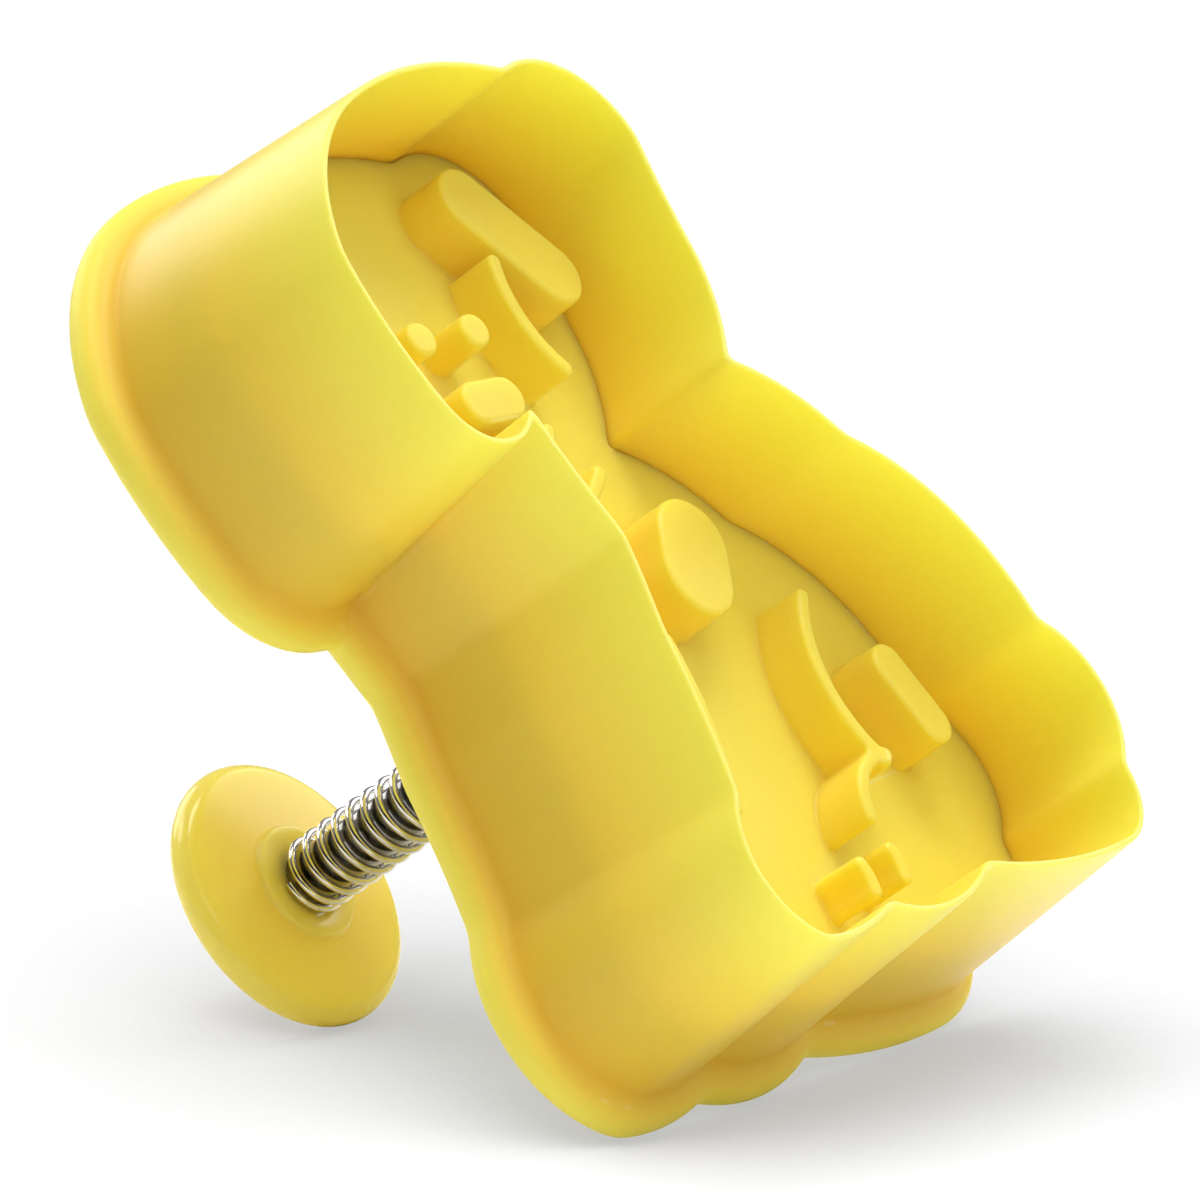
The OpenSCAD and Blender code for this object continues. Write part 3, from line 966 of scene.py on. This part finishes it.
def make_floor():
    foot = CENTRE + FLOOR_UP * (lowest_on_floor() - CENTRE.dot(FLOOR_UP))
    work = bmesh.new()
    bmesh.ops.create_circle(work, cap_ends=True, radius=FLOOR_R, segments=FLOOR_SIDES)
    mesh = bpy.data.meshes.new("floor")
    work.to_mesh(mesh)
    work.free()
    floor = bpy.data.objects.new("floor", mesh)
    bpy.context.scene.collection.objects.link(floor)
    turn = Matrix((STUDIO_RIGHT, FLOOR_UP.cross(STUDIO_RIGHT), FLOOR_UP)).transposed().to_4x4()
    floor.matrix_world = Matrix.Translation(foot) @ turn
    mesh.materials.append(floor_material())


def mixed(tree, share, first, second):
    node = tree.nodes.new("ShaderNodeMixShader")
    tree.links.new(share, node.inputs[0])
    tree.links.new(first, node.inputs[1])
    tree.links.new(second, node.inputs[2])
    return node.outputs[0]


def paper(tree, place):
    """The floor as other surfaces see it: plain white paper with a faint grain."""
    node = tree.nodes.new("ShaderNodeBsdfDiffuse")
    grain = remap(tree, noise(tree, place, PAPER_SCALE, detail=2.0), *PAPER_REACH, 0.0, 1.0)
    tree.links.new(blend_colour(tree, grain, PAPER_DULL, PAPER_WHITE), node.inputs["Color"])
    return node.outputs[0]


def glowing_paper_with_painted_shadow(tree):
    """The floor as the eye sees it: dim paint, lifted to white by a glow where the sky is open above it,
    which paints the shadow where the cutter blocks the sky.
    """
    dim = tree.nodes.new("ShaderNodeBsdfDiffuse")
    dim.inputs["Color"].default_value = FLOOR_PAINT
    lean = tree.nodes.new("ShaderNodeVectorMath")
    lean.operation = "ADD"
    lean.inputs[1].default_value = FLOOR_LEAN
    tree.links.new(tree.nodes.new("ShaderNodeNewGeometry").outputs["Normal"], lean.inputs[0])
    open_sky = tree.nodes.new("ShaderNodeAmbientOcclusion")
    tree.links.new(lean.outputs[0], open_sky.inputs["Normal"])
    open_sky.inputs["Distance"].default_value = FLOOR_REACH
    open_sky.samples = FLOOR_RAYS
    # A glow for the camera that paints the floor white and paints the shadow where the cutter blocks the sky
    lift = tree.nodes.new("ShaderNodeEmission")
    level = remap(tree, open_sky.outputs["AO"], *FLOOR_OPEN, *FLOOR_LIFT)
    tree.links.new(level, lift.inputs["Strength"])
    lit = tree.nodes.new("ShaderNodeAddShader")
    tree.links.new(dim.outputs[0], lit.inputs[0])
    tree.links.new(lift.outputs[0], lit.inputs[1])
    return lit.outputs[0]


def floor_material():
    """White floor that keeps the lamps' shadow with a painted one, fades out away from the cutter and shows
    from above only.
    """
    material = bpy.data.materials.new("white_floor")
    material.use_nodes = True
    tree = material.node_tree
    tree.nodes.clear()
    out = tree.nodes.new("ShaderNodeOutputMaterial")
    place = tree.nodes.new("ShaderNodeTexCoord").outputs["Object"]
    rays = tree.nodes.new("ShaderNodeLightPath")
    paint = mixed(tree, rays.outputs["Is Camera Ray"], paper(tree, place), glowing_paper_with_painted_shadow(tree))
    clear = tree.nodes.new("ShaderNodeBsdfTransparent")
    length = tree.nodes.new("ShaderNodeVectorMath")
    length.operation = "LENGTH"
    tree.links.new(place, length.inputs[0])
    far = remap(tree, length.outputs["Value"], *FLOOR_FADE, 0.0, 1.0)
    below = tree.nodes.new("ShaderNodeNewGeometry").outputs["Backfacing"]
    gone = maths(tree, "MAXIMUM", far, below)
    tree.links.new(mixed(tree, gone, paint, clear.outputs[0]), out.inputs["Surface"])
    return material


def make_world():
    """White to the eye, darker in reflections of the side where the camera stands, and a softer light."""
    world = bpy.data.worlds.new("studio")
    bpy.context.scene.world = world
    world.use_nodes = True
    tree = world.node_tree
    tree.nodes.clear()
    out = tree.nodes.new("ShaderNodeOutputWorld")
    back = tree.nodes.new("ShaderNodeBackground")
    back.inputs["Color"].default_value = (1.0, 1.0, 1.0, 1.0)
    rays = tree.nodes.new("ShaderNodeLightPath")
    towards = tree.nodes.new("ShaderNodeVectorMath")
    towards.operation = "DOT_PRODUCT"
    towards.inputs[1].default_value = STUDIO_FRONT
    tree.links.new(tree.nodes.new("ShaderNodeTexCoord").outputs["Generated"], towards.inputs[0])
    mirrored = remap(tree, towards.outputs["Value"], *DARK_SIDE, *MIRRORED)
    level = remap(tree, rays.outputs["Is Camera Ray"], 0.0, 1.0, AMBIENT, 1.0)
    change = maths(tree, "SUBTRACT", mirrored, AMBIENT)
    more = maths(tree, "MULTIPLY", change, rays.outputs["Is Glossy Ray"])
    tree.links.new(maths(tree, "ADD", level, more), back.inputs["Strength"])
    tree.links.new(back.outputs[0], out.inputs["Surface"])


def make_lamp(name, place, size, power):
    right, front, up = place
    at = CENTRE + STUDIO_RIGHT * right + STUDIO_FRONT * front + FLOOR_UP * up
    data = bpy.data.lights.new(name, "AREA")
    data.shape = "DISK"
    data.size = size
    data.energy = power
    lamp = bpy.data.objects.new(name, data)
    bpy.context.scene.collection.objects.link(lamp)
    lamp.location = at
    lamp.rotation_mode = "QUATERNION"
    lamp.rotation_quaternion = (CENTRE - at).to_track_quat("-Z", "Y")


# The studio
bpy.context.scene.view_settings.view_transform = "Standard"
make_camera()
make_floor()
make_world()
for lamp_name, settings in LAMPS.items():
    make_lamp(lamp_name, *settings)

# The pieces
cutter = make_cutter()
dress(cutter, shell_plastic(), "cutter", "cutter_shell")
stamp = make_stamp()
dress(stamp, stamp_plastic(), "plunger", "stamp_plate")
knob = make_knob()
dress(knob, knob_plastic(), "plunger", "push_knob")
rod = make_rod()
dress(rod, metal("polished_steel", *STEEL), "plunger", "plunger_rod")
spring = make_spring()
dress(spring, metal("bright_wire", *WIRE), "cutter", "return_spring")
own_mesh(spring)
